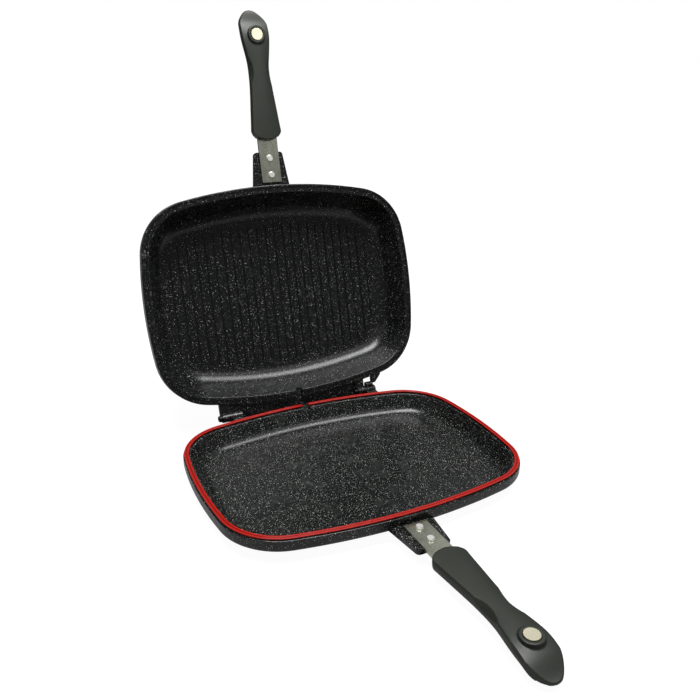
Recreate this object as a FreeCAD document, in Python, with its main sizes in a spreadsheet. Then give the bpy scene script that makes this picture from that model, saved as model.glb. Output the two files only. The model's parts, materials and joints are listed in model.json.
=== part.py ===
# Double sided flip pan: two cast pans hinged at the back, each with a riveted handle.
# Each piece is drawn face up in rim coordinates: the rim plane is z = 0, the hinge lies
# towards +Y and the handle towards -Y. The lower half is then lifted onto its base, and
# the upper half is turned over and swung open about the hinge.
import FreeCAD, Part
import Sketcher
import math
import os

os.makedirs("parts", exist_ok=True)
doc = FreeCAD.newDocument("flip_pan")
Vector = FreeCAD.Vector
Rotation = FreeCAD.Rotation

# Driving sizes, in millimetres and degrees

SIZES = {
    # rim outline, shared by both pans
    "rim_half_width": 181.0,
    "rim_half_depth": 136.85,
    "long_side_radius": 625.7,
    "short_side_radius": 509.8,
    "corner_radius": 68.5,
    # lower pan
    "lower_height": 30.0,
    "lower_band": 11.4,
    "lower_mouth_inset": 9.0,
    "lower_cavity": 22.5,
    "lower_floor_inset": 19.0,
    "lower_floor_radius": 14.0,
    "lower_base_inset": 24.0,
    "lower_corner_extra": 8.0,
    "lower_band_edge_radius": 5.0,
    # upper pan
    "upper_height": 45.5,
    "upper_band": 13.0,
    "upper_mouth_inset": 9.6,
    "upper_cavity": 42.0,
    "upper_floor_inset": 26.0,
    "upper_floor_radius": 24.0,
    "upper_wall_inset": 5.0,
    "upper_base_inset": 28.5,
    "upper_band_edge_radius": 2.0,
    "rim_edge_radius": 1.2,
    "rim_groove_inset": 2.8,
    "rim_groove_width": 3.4,
    "rim_groove_depth": 1.2,
    "base_edge_radius": 6.0,
    # grill grooves in the upper floor
    "grill_pitch": 11.88,
    "grill_groove_width": 2.2,
    "grill_groove_depth": 1.4,
    "grill_half_width": 140.0,
    "grill_half_depth": 90.0,
    "grill_corner_radius": 34.0,
    # seal and vent
    "seal_lip": 1.2,
    "seal_width": 5.2,
    "seal_cap": 1.3,
    "seal_undercut": 1.0,
    "seal_proud": 2.5,
    "seal_seat": 3.0,
    "seal_channel_width": 1.6,
    "seal_channel_depth": 0.7,
    "seal_fit": 0.2,
    "vent_width": 9.0,
    "vent_reach": 16.0,
    "upper_vent_depth": 5.0,
    # hinge
    "open_angle": 105.4,
    "hinge_standoff": 7.6,
    "hinge_drop": 3.0,
    "closed_gap": 0.3,
    "barrel_radius": 5.5,
    "left_lug_place": 107.2,
    "right_lug_place": 81.5,
    "lug_width": 12.2,
    "knuckle_width": 12.8,
    "side_gap": 0.3,
    "arm_root": 10.0,
    "arm_depth": 14.5,
    "lug_depth": 9.0,
    "lug_setback": 0.6,
    "web_root": 5.0,
    "web_setback": 4.0,
    "web_thickness": 3.5,
    "web_reach": 3.5,
    "ledge_thickness": 4.5,
    "ledge_reach": 12.5,
    "stop_gap": 0.3,
    "block_rise": 10.5,
    "block_front": 3.0,
    "block_back": 5.0,
    "block_trim": 3.5,
    "block_corner": 2.2,
    "cheek_width": 13.0,
    "cheek_reach": 10.0,
    "cheek_slope": 9.0,
    "pin_radius": 2.5,
    "pin_clearance": 0.05,
    "pin_head_radius": 3.9,
    "pin_head_length": 5.0,
    "pin_end_gap": 1.0,
    # handle bracket and tang
    "bracket_half_width": 25.5,
    "bracket_end_half_width": 18.7,
    "bracket_length": 42.0,
    "bracket_root": 11.0,
    "bracket_thickness": 5.0,
    "bracket_corner": 4.0,
    "tang_drop": 8.5,
    "tang_thickness": 3.0,
    "tang_width": 25.5,
    "tang_start": 4.2,
    "tang_length": 66.0,
    "tail_length": 42.0,
    "tail_width": 14.0,
    "first_rivet": 13.3,
    "rivet_spacing": 20.6,
    "rivet_radius": 2.5,
    "rivet_head_radius": 4.2,
    "rivet_head_height": 2.2,
    "rivet_tail_height": 1.6,
    # grip
    "grip_start": 56.4,
    "grip_length": 160.0,
    "grip_top_drop": 2.8,
    "grip_thickness": 16.4,
    "grip_top_width": 40.4,
    "grip_front_width": 38.2,
    "grip_neck_width": 27.2,
    "grip_bulb_width": 37.2,
    "grip_front_radius": 30.0,
    "grip_front_corner": 12.0,
    "grip_flank_radius": 35.0,
    "grip_tip_radius": 12.5,
    "tip_droop": 16.5,
    "tip_belly_drop": 3.0,
    "scoop_place": 82.8,
    "scoop_radius": 57.6,
    "scoop_inset": 8.1,
    "scoop_tilt": 40.0,
    "slot_fit": 0.1,
    "screw_place": 36.0,
    "screw_radius": 2.0,
    "screw_head_radius": 4.2,
    "screw_head_height": 2.4,
    "screw_recess": 2.0,
    # catch magnet
    "magnet_place": 126.4,
    "boss_radius": 11.0,
    "boss_drop": 0.9,
    "cover_radius": 7.1,
    "cover_thickness": 1.0,
    "cover_proud": 0.5,
    "magnet_radius": 6.6,
    "magnet_thickness": 4.0,
    "magnet_fit": 0.1,
}

GRILL_GROOVES = 24
# each grip station: place along the grip, width from top to neck, width from neck to bulb,
# droop of the face towards the tip, and drop of the belly
GRIP_STATION_SHARES = [
    (0.0, 0.0, 0.0, 0.0, 0.0),
    (0.1, 0.2, 0.0, 0.0, 0.0),
    (0.2, 0.44, 0.0, 0.0, 0.0),
    (0.3, 0.68, 0.0, 0.0, 0.0),
    (0.4, 0.9, 0.0, 0.0, 0.0),
    (0.5, 1.0, 0.0, 0.0, 0.0),
    (0.6, 1.0, 0.1, 0.0, 0.0),
    (0.7, 1.0, 0.58, 0.0, 0.0),
    (0.8, 1.0, 0.95, 0.064, 0.15),
    (0.9, 1.0, 1.0, 0.394, 0.55),
    (1.0, 1.0, 1.0, 1.0, 1.0),
]
# right half of a grip section from the belly up: shares of the half width and of the depth
GRIP_SECTION_SHARES = [(0.66, 0.95), (1.0, 0.46), (0.94, 0.12)]
RIVET_CROWN_SHARE = 0.8
SCREW_CROWN_SHARE = 0.7
HEAD_EDGE_SHARE = 0.5
PIN_ROUND_SHARE = 0.4

sheet = doc.addObject("Spreadsheet::Sheet", "dims")
for row, (name, number) in enumerate(SIZES.items(), start=1):
    sheet.set(f"A{row}", name)
    sheet.set(f"B{row}", str(number))
    sheet.setAlias(f"B{row}", name)
doc.recompute()


class Size:
    """A length or angle that knows its number now and the sheet formula it comes from."""

    def __init__(self, value, formula):
        self.value = value
        self.formula = formula

    def __add__(self, other):
        return Size(self.value + other.value, f"({self.formula} + {other.formula})")

    def __sub__(self, other):
        return Size(self.value - other.value, f"({self.formula} - {other.formula})")

    def __mul__(self, share):
        return Size(self.value * share, f"({self.formula} * {share})")

    def __truediv__(self, share):
        return Size(self.value / share, f"({self.formula} / {share})")

    def __neg__(self):
        return Size(-self.value, f"(-1 * {self.formula})")

    def along(self, angle):
        share = math.cos(math.radians(angle.value))
        return Size(self.value * share, f"({self.formula} * cos({angle.formula}))")

    def across(self, angle):
        share = math.sin(math.radians(angle.value))
        return Size(self.value * share, f"({self.formula} * sin({angle.formula}))")


def dim(name):
    return Size(float(sheet.get(name)), f"dims.{name}")


ZERO = Size(0.0, "0")


# Sketch helpers

def new_body(name):
    body = doc.addObject("PartDesign::Body", name)
    body.Label = name
    return body


def new_sketch(body, name, plane, offset=ZERO):
    sketch = body.newObject("Sketcher::SketchObject", name)
    support = [item for item in body.Origin.OriginFeatures if item.Role == plane][0]
    sketch.AttachmentSupport = (support, [""])
    sketch.MapMode = "FlatFace"
    sketch.setExpression("AttachmentOffset.Base.z", offset.formula)
    return sketch


def bind(sketch, kind, *args):
    size = args[-1]
    index = sketch.addConstraint(Sketcher.Constraint(kind, *args[:-1], size.value))
    sketch.setExpression(f"Constraints[{index}]", size.formula)


def fix_point(sketch, geo, pos, x, y):
    bind(sketch, "DistanceX", -1, 1, geo, pos, x)
    bind(sketch, "DistanceY", -1, 1, geo, pos, y)


def add_polygon(sketch, corners):
    """A closed run of straight lines through corners given as pairs of sizes."""
    first = sketch.GeometryCount
    count = len(corners)
    places = [Vector(x.value, y.value, 0) for x, y in corners]
    for i in range(count):
        sketch.addGeometry(Part.LineSegment(places[i], places[(i + 1) % count]), False)
    for i in range(count):
        following = first + (i + 1) % count
        sketch.addConstraint(Sketcher.Constraint("Coincident", first + i, 2, following, 1))
    for i, (x, y) in enumerate(corners):
        fix_point(sketch, first + i, 1, x, y)


def add_box(sketch, x0, x1, y0, y1):
    add_polygon(sketch, [(x0, y0), (x1, y0), (x1, y1), (x0, y1)])


def add_circle(sketch, x, y, radius):
    place = Vector(x.value, y.value, 0)
    geo = sketch.addGeometry(Part.Circle(place, Vector(0, 0, 1), radius.value), False)
    fix_point(sketch, geo, 3, x, y)
    bind(sketch, "Radius", geo, radius)
    return geo


def add_arc(sketch, centre, radius, start, end):
    """An arc drawn counterclockwise from start to end, both given as plain vectors."""
    angle = [math.atan2(p.y - centre.y, p.x - centre.x) for p in (start, end)]
    while angle[1] < angle[0]:
        angle[1] += 2 * math.pi
    circle = Part.Circle(centre, Vector(0, 0, 1), radius)
    return sketch.addGeometry(Part.ArcOfCircle(circle, angle[0], angle[1]), False)


def corner_centre(half_width, half_depth, long_radius, short_radius, corner):
    """Centre of the corner arc that touches a long and a short bowed side from inside."""
    low = Vector(0, half_depth - long_radius, 0)
    side = Vector(half_width - short_radius, 0, 0)
    reach_low = long_radius - corner
    reach_side = short_radius - corner
    apart = side - low
    span = apart.Length
    along = (reach_low ** 2 - reach_side ** 2 + span ** 2) / (2 * span)
    across = math.sqrt(reach_low ** 2 - along ** 2)
    step = apart / span
    return low + step * along + Vector(-step.y, step.x, 0) * -across


def add_outline(sketch, half_width, half_depth, corner, inset=ZERO):
    """Eight tangent arcs: four bowed sides and four round corners, moved in by inset."""
    long_radius = dim("long_side_radius")
    short_radius = dim("short_side_radius")
    first = sketch.GeometryCount
    k = inset.value
    a, b, rc = half_width.value, half_depth.value, corner.value
    centre = corner_centre(a, b, long_radius.value, short_radius.value, rc)
    low = Vector(0, b - long_radius.value, 0)
    side = Vector(a - short_radius.value, 0, 0)
    on_long = low + (centre - low).normalize() * (long_radius.value - k)
    on_short = side + (centre - side).normalize() * (short_radius.value - k)

    def turned(point, sx, sy):
        return Vector(point.x * sx, point.y * sy, 0)

    corners = [(1, 1), (-1, 1), (-1, -1), (1, -1)]
    add_arc(sketch, side, short_radius.value - k, turned(on_short, 1, -1), on_short)
    for i, (sx, sy) in enumerate(corners):
        ends = [turned(on_short, sx, sy), turned(on_long, sx, sy)]
        if sx * sy < 0:
            ends.reverse()
        add_arc(sketch, turned(centre, sx, sy), rc - k, ends[0], ends[1])
        next_x, next_y = corners[(i + 1) % 4]
        if i == 3:
            break
        if next_x != sx:
            middle, radius = turned(low, 1, sy), long_radius.value - k
            start, end = turned(on_long, sx, sy), turned(on_long, next_x, next_y)
        else:
            middle, radius = turned(side, sx, 1), short_radius.value - k
            start, end = turned(on_short, sx, sy), turned(on_short, next_x, next_y)
        add_arc(sketch, middle, radius, start, end)
    for i in range(8):
        here, there = first + i, first + (i + 1) % 8
        sketch.addConstraint(Sketcher.Constraint("Tangent", here, 2, there, 1))
    side_x = half_width - short_radius
    low_y = half_depth - long_radius
    fix_point(sketch, first, 3, side_x, ZERO)
    fix_point(sketch, first + 2, 3, ZERO, low_y)
    fix_point(sketch, first + 4, 3, -side_x, ZERO)
    fix_point(sketch, first + 6, 3, ZERO, -low_y)
    for i in (0, 4):
        bind(sketch, "Radius", first + i, short_radius - inset)
    for i in (2, 6):
        bind(sketch, "Radius", first + i, long_radius - inset)
    for i in (1, 3, 5, 7):
        bind(sketch, "Radius", first + i, corner - inset)


def rim_sketch(body, name, height, *insets, rounder=ZERO):
    sketch = new_sketch(body, name, "XY_Plane", height)
    for inset in insets:
        rim = dim("rim_half_width"), dim("rim_half_depth"), dim("corner_radius") + rounder
        add_outline(sketch, *rim, inset)
    return sketch


# Feature helpers

def add_feature(body, kind, name, profile):
    feature = body.newObject(f"PartDesign::{kind}", name)
    feature.Profile = profile
    return feature


def pad(body, name, sketch, length, reverse=False):
    feature = add_feature(body, "Pad", name, sketch)
    feature.setExpression("Length", length.formula)
    feature.Reversed = reverse
    return feature


def pocket(body, name, sketch, length, reverse=False):
    """A cut away from the sketch's own normal, or along it when reversed."""
    feature = add_feature(body, "Pocket", name, sketch)
    feature.setExpression("Length", length.formula)
    feature.Reversed = reverse
    return feature


def pocket_through(body, name, sketch):
    feature = add_feature(body, "Pocket", name, sketch)
    feature.Type = "ThroughAll"
    feature.Midplane = True
    return feature


def loft(body, name, kind, sketches, ruled):
    feature = add_feature(body, kind, name, sketches[0])
    feature.Sections = sketches[1:]
    feature.Ruled = ruled
    return feature


def round_edges(body, name, radius, chosen):
    """Rounds every edge of the body so far for which chosen(edge) is true."""
    doc.recompute()
    base = body.Tip
    names = [f"Edge{i}" for i, edge in enumerate(base.Shape.Edges, 1) if chosen(edge)]
    feature = body.newObject("PartDesign::Fillet", name)
    feature.Base = (base, names)
    feature.setExpression("Radius", radius.formula)
    return feature


def at_height(height):
    slack = dim("seal_fit").value

    def chosen(edge):
        box = edge.BoundBox
        return abs(box.ZMin - height.value) < slack and abs(box.ZMax - height.value) < slack
    return chosen


# Places that several pieces share

hinge_y = dim("rim_half_depth") + dim("hinge_standoff")
upper_hinge_z = dim("hinge_drop") + dim("closed_gap")
tang_top = -dim("tang_drop")
tang_bottom = tang_top - dim("tang_thickness")
bracket_bottom = tang_bottom - dim("bracket_thickness")
rim_front = -dim("rim_half_depth")
rivet_places = [
    rim_front - dim("first_rivet"),
    rim_front - dim("first_rivet") - dim("rivet_spacing"),
]
grip_front = rim_front - dim("grip_start")
screw_y = grip_front - dim("screw_place")
magnet_y = grip_front - dim("magnet_place")
grip_top = -dim("grip_top_drop")
grip_bottom = grip_top - dim("grip_thickness")
left_lug = (-dim("left_lug_place"), dim("lug_width") - dim("left_lug_place"))
left_knuckle_start = left_lug[1] + dim("side_gap")
left_knuckle = (left_knuckle_start, left_knuckle_start + dim("knuckle_width"))
right_lug = (dim("right_lug_place"), dim("right_lug_place") + dim("lug_width"))
right_knuckle_start = right_lug[1] + dim("side_gap")
right_knuckle = (right_knuckle_start, right_knuckle_start + dim("knuckle_width"))
pin_bore = dim("pin_radius") + dim("pin_clearance")
# the web is turned by the open angle about the hinge, and its far corner lands here
web_back = upper_hinge_z + dim("web_setback") + dim("web_thickness")
corner_drop = dim("web_reach").across(dim("open_angle")) - web_back.along(dim("open_angle"))
ledge_top = -(dim("hinge_drop") + corner_drop + dim("stop_gap"))


def mirrored_span(span):
    """The same stretch of the hinge line in the upper half's own frame, turned over."""
    return (-span[1], -span[0])


def add_bracket(body):
    sketch = new_sketch(body, "bracket_plan", "XY_Plane", bracket_bottom)
    root = rim_front + dim("bracket_root")
    end = rim_front - dim("bracket_length")
    wide, narrow = dim("bracket_half_width"), dim("bracket_end_half_width")
    add_polygon(sketch, [(-wide, root), (-narrow, end), (narrow, end), (wide, root)])
    pad(body, "bracket", sketch, dim("bracket_thickness"))
    slack = dim("bracket_corner").value

    def chosen(edge):
        box = edge.BoundBox
        upright = box.ZLength > slack and box.XLength + box.YLength < slack
        return upright and abs(box.YMin - end.value) < slack
    round_edges(body, "bracket_corners", dim("bracket_corner"), chosen)
    sketch = new_sketch(body, "rivet_hole_plan", "XY_Plane", tang_bottom)
    for y in rivet_places:
        add_circle(sketch, ZERO, y, dim("rivet_radius"))
    pocket(body, "rivet_holes", sketch, dim("bracket_thickness") * 2)


def add_dish(body, half, rim_top, base, floor, wall_inset=ZERO, rounder=ZERO):
    """Outer band, sloping wall down to the base, and the cavity with its round floor edge."""
    band = dim(f"{half}_band")
    band_bottom = rim_top - band
    pad(body, "band", rim_sketch(body, "band_plan", rim_top, ZERO), band, True)
    wall = [
        rim_sketch(body, "wall_plan", band_bottom, wall_inset),
        rim_sketch(body, "base_plan", base, dim(f"{half}_base_inset"),
                   rounder=rounder),
    ]
    loft(body, "wall", "AdditiveLoft", wall, True)
    round_edges(body, "band_edge", dim(f"{half}_band_edge_radius"), at_height(band_bottom))
    round_edges(body, "base_edge", dim("base_edge_radius"), at_height(base))
    cavity = [
        rim_sketch(body, "mouth_plan", rim_top, dim(f"{half}_mouth_inset")),
        rim_sketch(body, "floor_plan", floor, dim(f"{half}_floor_inset")),
    ]
    loft(body, "cavity", "SubtractiveLoft", cavity, True)
    round_edges(body, "floor_edge", dim(f"{half}_floor_radius"), at_height(floor))
    round_edges(body, "rim_edges", dim("rim_edge_radius"), at_height(rim_top))


def add_ring_groove(body, rim_top, inset, width, depth):
    sketch = rim_sketch(body, "groove_plan", rim_top, inset, inset + width)
    pocket(body, "ring_groove", sketch, depth)


def add_vent(body, rim_top, depth):
    sketch = new_sketch(body, "vent_plan", "XY_Plane", rim_top)
    half = dim("vent_width") / 2
    inner = dim("rim_half_depth") - dim("vent_reach")
    add_box(sketch, -half, half, inner, hinge_y)
    pocket(body, "vent", sketch, depth)


def add_barrel(body, name, span, hinge_z, outline):
    """One lug or knuckle: an arm from the pan's back wall and the round barrel on it."""
    width = span[1] - span[0]
    sketch = new_sketch(body, f"{name}_arm_side", "YZ_Plane", span[0])
    add_polygon(sketch, outline)
    pad(body, f"{name}_arm", sketch, width)
    sketch = new_sketch(body, f"{name}_barrel_side", "YZ_Plane", span[0])
    add_circle(sketch, hinge_y, hinge_z, dim("barrel_radius"))
    pad(body, f"{name}_barrel", sketch, width)


def add_bore(body, name, span, hinge_z, radius):
    sketch = new_sketch(body, f"{name}_bore_side", "YZ_Plane", span[0])
    add_circle(sketch, hinge_y, hinge_z, radius)
    pocket(body, f"{name}_bore", sketch, span[1] - span[0], True)


def add_back_plate(body, name, height, thickness, left, right, root, back):
    """A flat plate behind the rim whose front edge runs inside the bowed back wall."""
    sketch = new_sketch(body, f"{name}_plan", "XY_Plane", height)
    radius = dim("long_side_radius") - root
    middle_y = dim("rim_half_depth") - dim("long_side_radius")
    middle = Vector(0, middle_y.value, 0)

    def on_arc(x):
        return Vector(x.value, middle.y + math.sqrt(radius.value ** 2 - x.value ** 2), 0)

    start, end = on_arc(right), on_arc(left)
    arc = add_arc(sketch, middle, radius.value, start, end)
    far_left = Vector(left.value, back.value, 0)
    far_right = Vector(right.value, back.value, 0)
    run = [end, far_left, far_right, start]
    lines = []
    for i in range(3):
        lines.append(sketch.addGeometry(Part.LineSegment(run[i], run[i + 1]), False))
    sketch.addConstraint(Sketcher.Constraint("Coincident", arc, 2, lines[0], 1))
    sketch.addConstraint(Sketcher.Constraint("Coincident", lines[0], 2, lines[1], 1))
    sketch.addConstraint(Sketcher.Constraint("Coincident", lines[1], 2, lines[2], 1))
    sketch.addConstraint(Sketcher.Constraint("Coincident", lines[2], 2, arc, 1))
    fix_point(sketch, arc, 3, ZERO, middle_y)
    bind(sketch, "Radius", arc, radius)
    fix_point(sketch, lines[1], 1, left, back)
    fix_point(sketch, lines[1], 2, right, back)
    sketch.addConstraint(Sketcher.Constraint("Vertical", lines[0]))
    sketch.addConstraint(Sketcher.Constraint("Vertical", lines[2]))
    pad(body, name, sketch, thickness)


# Lower half

def make_lower_pan():
    body = new_body("lower_pan")
    rim_top = -dim("seal_proud")
    base = -dim("lower_height")
    floor = rim_top - dim("lower_cavity")
    add_dish(body, "lower", rim_top, base, floor, rounder=dim("lower_corner_extra"))
    add_bracket(body)
    axis_z = -dim("hinge_drop")
    root = dim("rim_half_depth") - dim("arm_root")
    rear = hinge_y + dim("barrel_radius")
    arm_low = axis_z - dim("arm_depth")
    arm = [(root, arm_low), (hinge_y, arm_low), (rear, axis_z - dim("barrel_radius")),
           (rear, axis_z), (root, axis_z)]
    for name, span in (("left_knuckle", left_knuckle), ("right_knuckle", right_knuckle)):
        add_barrel(body, name, span, axis_z, arm)
    add_stop_block(body, axis_z)
    inner_left = right_lug[0] - dim("side_gap")
    add_back_plate(body, "stop_ledge", ledge_top - dim("ledge_thickness"),
                   dim("ledge_thickness"), left_knuckle[0], inner_left, dim("web_root"),
                   hinge_y + dim("ledge_reach"))
    side = dim("seal_undercut") - dim("seal_fit")
    add_ring_groove(body, rim_top, dim("seal_lip") + side, dim("seal_width") - side * 2,
                    dim("seal_seat"))
    add_vent(body, rim_top, dim("seal_seat"))
    for name, span in (("left_knuckle", left_knuckle), ("right_knuckle", right_knuckle)):
        add_bore(body, name, span, axis_z, pin_bore)
    return body


def add_stop_block(body, axis_z):
    """The block on the right knuckle that rises close to the opened upper pan."""
    sketch = new_sketch(body, "stop_block_side", "YZ_Plane", right_knuckle[0])
    top = axis_z + dim("block_rise")
    add_box(sketch, hinge_y - dim("block_front"), hinge_y + dim("block_back"), axis_z, top)
    pad(body, "stop_block", sketch, dim("knuckle_width") - dim("block_trim"))
    slack = dim("seal_fit").value

    def chosen(edge):
        box = edge.BoundBox
        return abs(box.ZMin - top.value) < slack and box.YLength < slack
    round_edges(body, "stop_block_edges", dim("block_corner"), chosen)


def make_seal():
    """Silicone ring: a stem seated in the rim's groove and a wider cap with two lips."""
    body = new_body("seal")
    outer = dim("seal_lip")
    inner = outer + dim("seal_width")
    bottom = -dim("seal_proud") - dim("seal_seat")
    stem = rim_sketch(body, "stem_plan", bottom, outer + dim("seal_undercut"),
                      inner - dim("seal_undercut"))
    pad(body, "stem", stem, -bottom)
    cap = rim_sketch(body, "cap_plan", ZERO, outer, inner)
    pad(body, "cap", cap, dim("seal_cap"), True)
    start = dim("seal_lip") + (dim("seal_width") - dim("seal_channel_width")) / 2
    channel = rim_sketch(body, "channel_plan", ZERO, start, start + dim("seal_channel_width"))
    pocket(body, "channel", channel, dim("seal_channel_depth"))
    sketch = new_sketch(body, "gap_plan", "XY_Plane", ZERO)
    half = dim("vent_width") / 2
    inside = dim("rim_half_depth") - dim("vent_reach")
    add_box(sketch, -half, half, inside, hinge_y)
    pocket(body, "gap", sketch, -bottom * 2)
    return body


# Upper half

def make_upper_pan():
    body = new_body("upper_dish")
    base = -dim("upper_height")
    floor = -dim("upper_cavity")
    add_dish(body, "upper", ZERO, base, floor, dim("upper_wall_inset"))
    add_bracket(body)
    axis_z = upper_hinge_z
    root = dim("rim_half_depth") - dim("arm_root") - dim("lug_setback")
    front = hinge_y - dim("barrel_radius")
    rear = hinge_y + dim("barrel_radius")
    top = -dim("lug_setback")
    web_low = -dim("web_setback") - dim("web_thickness")
    lug = [(root, top), (front, top), (front, axis_z), (rear, axis_z),
           (rear, -dim("web_setback")), (hinge_y + dim("web_reach"), web_low),
           (root, -dim("lug_depth"))]
    spans = (("left_lug", mirrored_span(left_lug)), ("right_lug", mirrored_span(right_lug)))
    for name, span in spans:
        add_barrel(body, name, span, axis_z, lug)
    add_back_plate(body, "web", web_low, dim("web_thickness"), -right_lug[1], -left_lug[0],
                   dim("web_root"), hinge_y + dim("web_reach"))
    add_cheek(body, web_low)
    add_ring_groove(body, ZERO, dim("rim_groove_inset"), dim("rim_groove_width"),
                    dim("rim_groove_depth"))
    add_vent(body, ZERO, dim("upper_vent_depth"))
    for name, span in spans:
        add_bore(body, name, span, axis_z, dim("pin_radius"))
    return body


def add_cheek(body, low):
    """The sloping cheek of the web beyond the outer knuckle."""
    sketch = new_sketch(body, "cheek_plan", "XY_Plane", low)
    inner = -(right_knuckle[1] + dim("side_gap") * 2)
    outer = inner - dim("cheek_width")
    rim_y = dim("rim_half_depth") - dim("arm_root")
    root = rim_y - dim("web_root")
    end = rim_y + dim("cheek_reach")
    corners = [(inner, root), (inner, end), (outer + dim("cheek_slope"), end),
               (outer, rim_y), (outer, root)]
    add_polygon(sketch, corners)
    pad(body, "cheek", sketch, -low - dim("lug_setback"))


def cut_grill(dish):
    """Straight grooves front to back, whose ends follow the outline of the floor."""
    field = new_body("grill_field")
    low = -dim("upper_cavity") - dim("grill_groove_depth")
    sketch = new_sketch(field, "field_plan", "XY_Plane", low)
    add_outline(sketch, dim("grill_half_width"), dim("grill_half_depth"),
                dim("grill_corner_radius"))
    pad(field, "field", sketch, dim("grill_groove_depth") * 2)
    bars = []
    for i in range(GRILL_GROOVES):
        bar = doc.addObject("Part::Box", f"groove_{i + 1}")
        x = dim("grill_pitch") * (i - (GRILL_GROOVES - 1) / 2) - dim("grill_groove_width") / 2
        bar.setExpression("Length", dim("grill_groove_width").formula)
        bar.setExpression("Width", (dim("rim_half_depth") * 2).formula)
        bar.setExpression("Height", (dim("grill_groove_depth") * 2).formula)
        bar.setExpression("Placement.Base.x", x.formula)
        bar.setExpression("Placement.Base.y", rim_front.formula)
        bar.setExpression("Placement.Base.z", low.formula)
        bars.append(bar)
    comb = doc.addObject("Part::MultiFuse", "grooves")
    comb.Shapes = bars
    clipped = doc.addObject("Part::Common", "clipped_grooves")
    clipped.Base = field
    clipped.Tool = comb
    pan = doc.addObject("Part::Cut", "upper_pan")
    pan.Base = dish
    pan.Tool = clipped
    pan.Label = "upper_pan"
    return pan


# Pieces that both halves have, drawn alike

def make_tang(half):
    """Flat steel strap riveted to the bracket, with a narrower tail inside the grip."""
    body = new_body(f"{half}_tang")
    start = rim_front - dim("tang_start")
    neck = start - dim("tang_length")
    end = neck - dim("tail_length")
    wide, narrow = dim("tang_width") / 2, dim("tail_width") / 2
    shoulder = neck - wide + narrow
    sketch = new_sketch(body, "strap_plan", "XY_Plane", tang_bottom)
    add_polygon(sketch, [(-wide, start), (-wide, neck), (-narrow, shoulder), (-narrow, end),
                         (narrow, end), (narrow, shoulder), (wide, neck), (wide, start)])
    pad(body, "strap", sketch, dim("tang_thickness"))
    sketch = new_sketch(body, "hole_plan", "XY_Plane", tang_top)
    for y in rivet_places:
        add_circle(sketch, ZERO, y, dim("rivet_radius"))
    add_circle(sketch, ZERO, screw_y, dim("screw_radius"))
    pocket(body, "holes", sketch, dim("tang_thickness") * 2)
    return body


def revolve_profile(body, name, plane, corners, offset=ZERO):
    """A turned piece: the profile's first coordinate is its radius from the sketch axis."""
    sketch = new_sketch(body, f"{name}_profile", plane, offset)
    add_polygon(sketch, corners)
    feature = add_feature(body, "Revolution", name, sketch)
    feature.ReferenceAxis = (sketch, ["V_Axis"])
    feature.Angle = 360
    return feature


def make_rivet(name, y):
    body = new_body(name)
    shank, head = dim("rivet_radius"), dim("rivet_head_radius")
    top = tang_top + dim("rivet_head_height")
    bottom = bracket_bottom - dim("rivet_tail_height")
    crown = head * RIVET_CROWN_SHARE
    shoulder = tang_top + dim("rivet_head_height") * HEAD_EDGE_SHARE
    heel = bracket_bottom - dim("rivet_tail_height") * HEAD_EDGE_SHARE
    corners = [(ZERO, bottom), (crown, bottom), (head, heel), (head, bracket_bottom),
               (shank, bracket_bottom), (shank, tang_top), (head, tang_top),
               (head, shoulder), (crown, top), (ZERO, top)]
    revolve_profile(body, "rivet", "XZ_Plane", corners, -y)
    return body


def make_screw(half):
    """Pan head screw from the outer face of the grip into the tail of the tang."""
    body = new_body(f"{half}_grip_screw")
    shank, head = dim("screw_radius"), dim("screw_head_radius")
    seat = grip_bottom + dim("screw_recess") + dim("screw_head_height")
    low = seat - dim("screw_head_height")
    crown = head * SCREW_CROWN_SHARE
    edge = seat - dim("screw_head_height") * HEAD_EDGE_SHARE
    corners = [(ZERO, low), (crown, low), (head, edge), (head, seat), (shank, seat),
               (shank, tang_top), (ZERO, tang_top)]
    revolve_profile(body, "screw", "XZ_Plane", corners, -screw_y)
    return body


def make_disc(name, radius, low, thickness):
    body = new_body(name)
    sketch = new_sketch(body, "disc_plan", "XY_Plane", low)
    add_circle(sketch, ZERO, magnet_y, radius)
    pad(body, "disc", sketch, thickness)
    return body


def make_magnet_pieces(half):
    cover_low = -dim("boss_drop") + dim("cover_proud") - dim("cover_thickness")
    cover = make_disc(f"{half}_magnet_cover", dim("cover_radius"), cover_low,
                      dim("cover_thickness"))
    magnet = make_disc(f"{half}_magnet", dim("magnet_radius"),
                       cover_low - dim("magnet_thickness"), dim("magnet_thickness"))
    return [cover, magnet]


def add_grip_section(sketch, half_width, top, thickness):
    """D shaped section: a slightly crowned face, bowed sides and a narrow belly."""
    right = []
    for across, down in GRIP_SECTION_SHARES:
        right.append((half_width * across, top - thickness * down))
    left = [(-x, z) for x, z in reversed(right)]
    chain = right + [(ZERO, top)] + left + [(ZERO, top - thickness)]
    count = len(chain)
    arcs = []
    for i in range(0, count, 2):
        run = [chain[i], chain[i + 1], chain[(i + 2) % count]]
        places = [Vector(x.value, z.value, 0) for x, z in run]
        arcs.append(sketch.addGeometry(Part.Arc(*places), False))
    for i, arc in enumerate(arcs):
        following = arcs[(i + 1) % len(arcs)]
        sketch.addConstraint(Sketcher.Constraint("Coincident", arc, 2, following, 1))
        fix_point(sketch, arc, 1, *chain[2 * i])
        x, z = chain[2 * i + 1]
        mark = sketch.addGeometry(Part.Point(Vector(x.value, z.value, 0)), True)
        fix_point(sketch, mark, 1, x, z)
        sketch.addConstraint(Sketcher.Constraint("PointOnObject", mark, 1, arc))


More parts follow.
